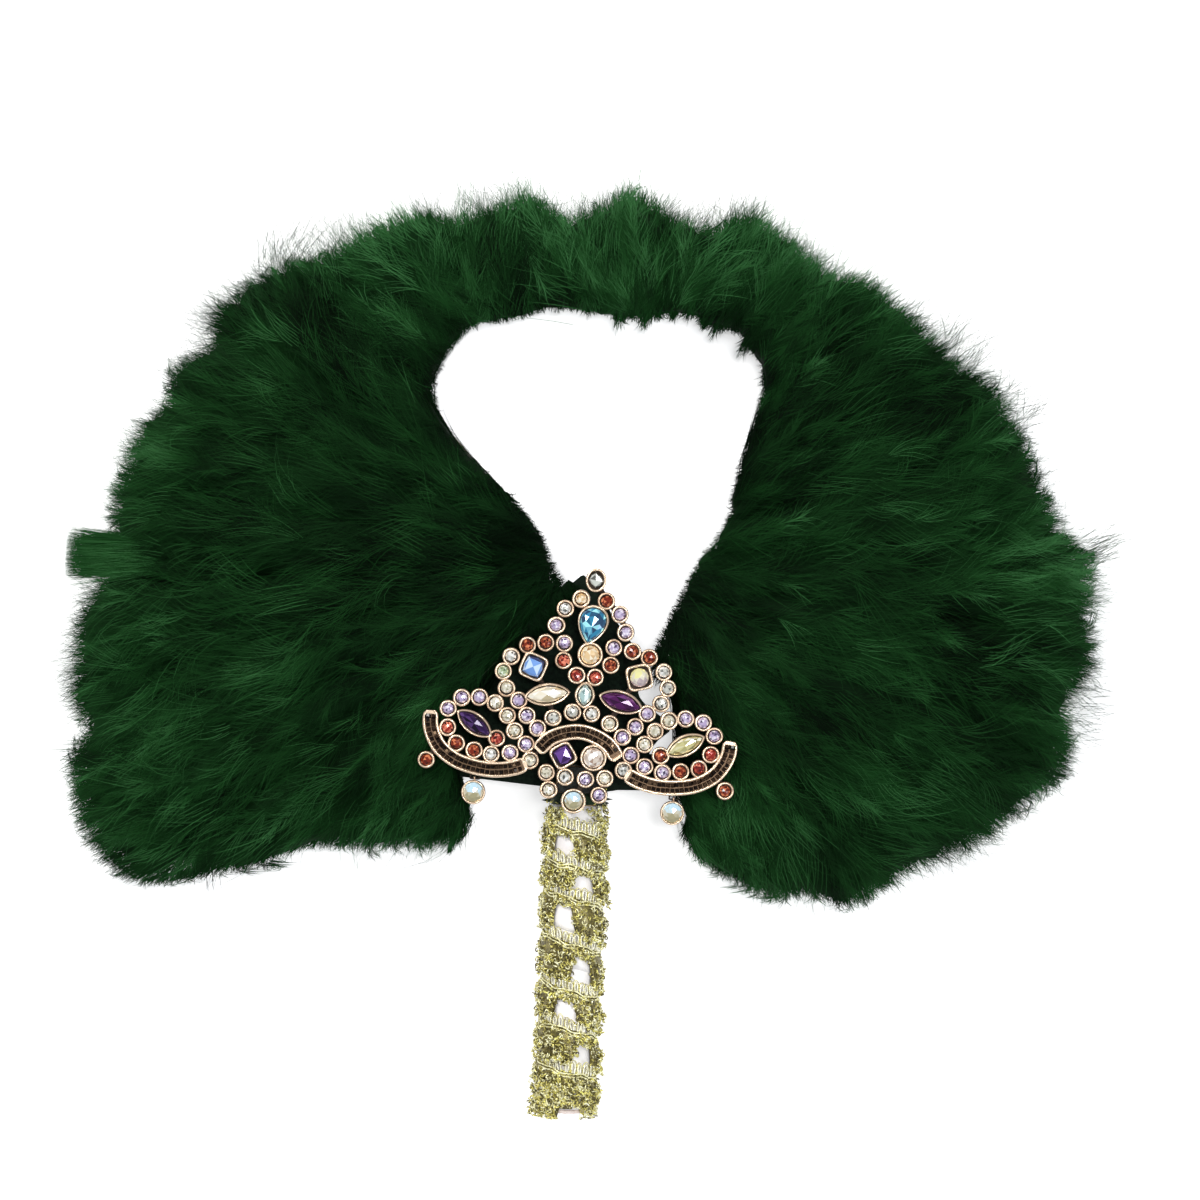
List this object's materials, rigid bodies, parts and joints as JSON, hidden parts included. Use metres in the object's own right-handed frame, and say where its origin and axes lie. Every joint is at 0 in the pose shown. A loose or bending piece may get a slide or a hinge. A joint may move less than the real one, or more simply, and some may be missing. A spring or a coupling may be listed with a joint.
{
  "type": "feather hand fan",
  "caption": "Hand fan: a horseshoe of dyed marabou plumes on a stiff board, a ribbon-bound handle wound with gimp, and a jewelled brooch over the joint.",
  "frame": {"origin": "centre of the handle's flat butt face, on the handle's axis", "axes": "+Y runs up the handle into the plumes, +X is to the right seen from the jewelled face, +Z points out of that face"},
  "size_m": [0.3974, 0.3561, 0.041],
  "materials": {
    "down": "dyed marabou down, dark green with brighter tips",
    "birch": "bare, hidden under the ribbon",
    "blush_satin": "satin",
    "white_satin": "satin",
    "gimp": "metallic gold-green looped trim",
    "green_tape": "matte tape",
    "steel": "plain pins",
    "greyboard": "stiff pressed card",
    "green_felt": "felt",
    "foam": "dense dark foam",
    "rose_gold": "pale antique rose gold plating",
    "brown_glass": "dark brown micro stones",
    "clear_glass": "faceted, foil backed",
    "aurora_glass": "faceted, iridescent coating",
    "aqua_glass": "faceted, foil backed",
    "pale_aqua_glass": "faceted, foil backed",
    "topaz_glass": "faceted, foil backed",
    "sky_glass": "faceted, foil backed",
    "champagne_glass": "faceted, foil backed",
    "cream_glass": "faceted, foil backed",
    "amethyst_glass": "faceted, foil backed",
    "jonquil_glass": "faceted, foil backed"
  },
  "bodies": {
    "fan_body": {"brooch_frame": "rose_gold", "brooch_pad": "foam", "butt_cap": "blush_satin", "core_board": "greyboard", "gimp_winding": "gimp", "handle_dowel": "birch", "neck_binding": "green_tape", "neck_felt_back": "green_felt", "neck_felt_front": "green_felt", "pave_strip_arch": "brown_glass", "pave_strip_left": "brown_glass", "pave_strip_right": "brown_glass", "plume_arch_1": "down", "plume_arch_2": "down", "plume_arch_3": "down", "plume_arch_4": "down", "plume_arch_5": "down", "plume_arch_6": "down", "plume_arch_7": "down", "plume_arch_8": "down", "plume_left_1": "down", "plume_left_2": "down", "plume_left_3": "down", "plume_left_4": "down", "plume_left_5": "down", "plume_left_6": "down", "plume_left_7": "down", "plume_left_8": "down", "plume_left_9": "down", "plume_right_1": "down", "plume_right_2": "down", "plume_right_3": "down", "plume_right_4": "down", "plume_right_5": "down", "plume_right_6": "down", "plume_right_7": "down", "plume_right_8": "down", "plume_right_9": "down", "ribbon_wrap": "white_satin", "stone_aurora_round": "aurora_glass", "stone_clear_round": "clear_glass", "stone_crown_oval": "clear_glass", "stone_lower_marquise_left": "amethyst_glass", "stone_lower_marquise_right": "jonquil_glass", "stone_navette": "pale_aqua_glass", "stone_pear": "aqua_glass", "stone_small_square": "amethyst_glass", "stone_square_left": "sky_glass", "stone_square_right": "champagne_glass", "stone_topaz": "topaz_glass", "stone_upper_marquise_left": "cream_glass", "stone_upper_marquise_right": "amethyst_glass", "tang_pin_lower": "steel", "tang_pin_upper": "steel"},
    "drop_left": {"drop_collet_left": "rose_gold", "drop_stone_left": "aurora_glass"},
    "drop_right": {"drop_collet_right": "rose_gold", "drop_stone_right": "aurora_glass"}
  },
  "joints": [
    {"name": "drop_left_swing", "type": "hinge", "parent": "fan_body", "child": "drop_left", "pos_m": [-0.03915, 0.12637, 0.0151], "axis": [-0.998, 0.0628, 0], "range_deg": [-10, 60]},
    {"name": "drop_right_swing", "type": "hinge", "parent": "fan_body", "child": "drop_right", "pos_m": [0.03621, 0.12163, 0.0151], "axis": [-0.998, 0.0628, 0], "range_deg": [-10, 60]}
  ]
}
